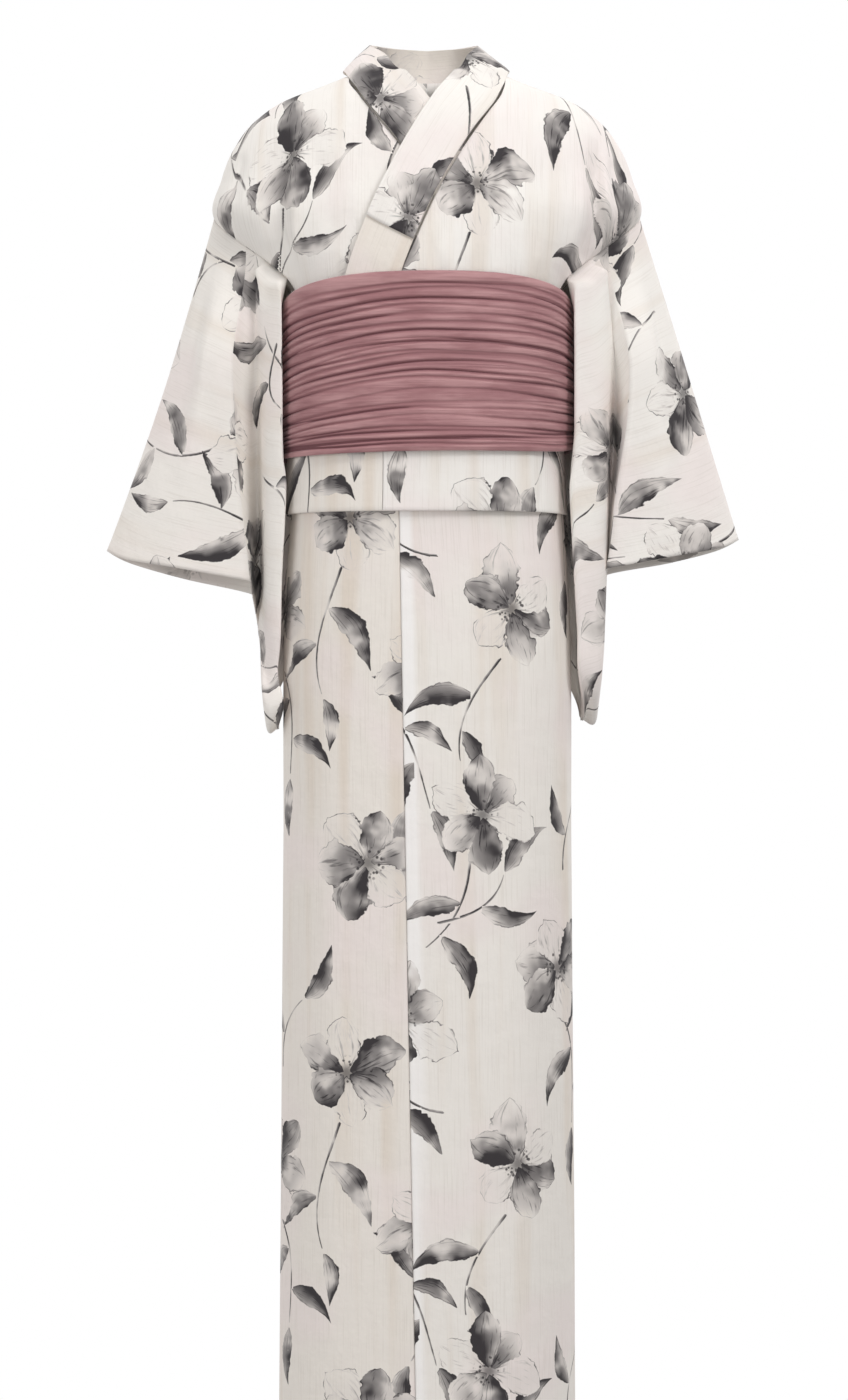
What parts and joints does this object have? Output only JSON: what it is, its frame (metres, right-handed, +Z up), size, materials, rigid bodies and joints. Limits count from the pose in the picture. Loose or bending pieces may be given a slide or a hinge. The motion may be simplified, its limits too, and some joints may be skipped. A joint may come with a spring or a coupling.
{
  "type": "cotton yukata robe with its obi sash",
  "caption": "Worn cotton yukata, hollow, left front over right, with open sleeves and hem, waist tuck, collar with over-collar and a crinkled sash.",
  "frame": {"origin": "midway between the shoulders, at the root of the neck, where the wearer holds the garment up", "axes": "+Z up, the front faces -Y, the wearer's left is at +X"},
  "size_m": [0.679, 0.2438, 1.5044],
  "materials": {
    "printed_cotton": "slub cotton with an ink-wash flower print",
    "crinkled_sash": "soft dusty-rose crinkled weave"
  },
  "bodies": {
    "root": {"body_right": "printed_cotton", "body_left": "printed_cotton", "okumi_left_upper": "printed_cotton", "skirt_back_right": "printed_cotton", "skirt_back_left": "printed_cotton", "skirt_front_right": "printed_cotton", "skirt_front_left": "printed_cotton", "okumi_right_skirt": "printed_cotton", "okumi_left_skirt": "printed_cotton", "collar": "printed_cotton", "over_collar": "printed_cotton", "sleeve_right": "printed_cotton", "sleeve_left": "printed_cotton", "obi": "crinkled_sash"}
  },
  "joints": []
}
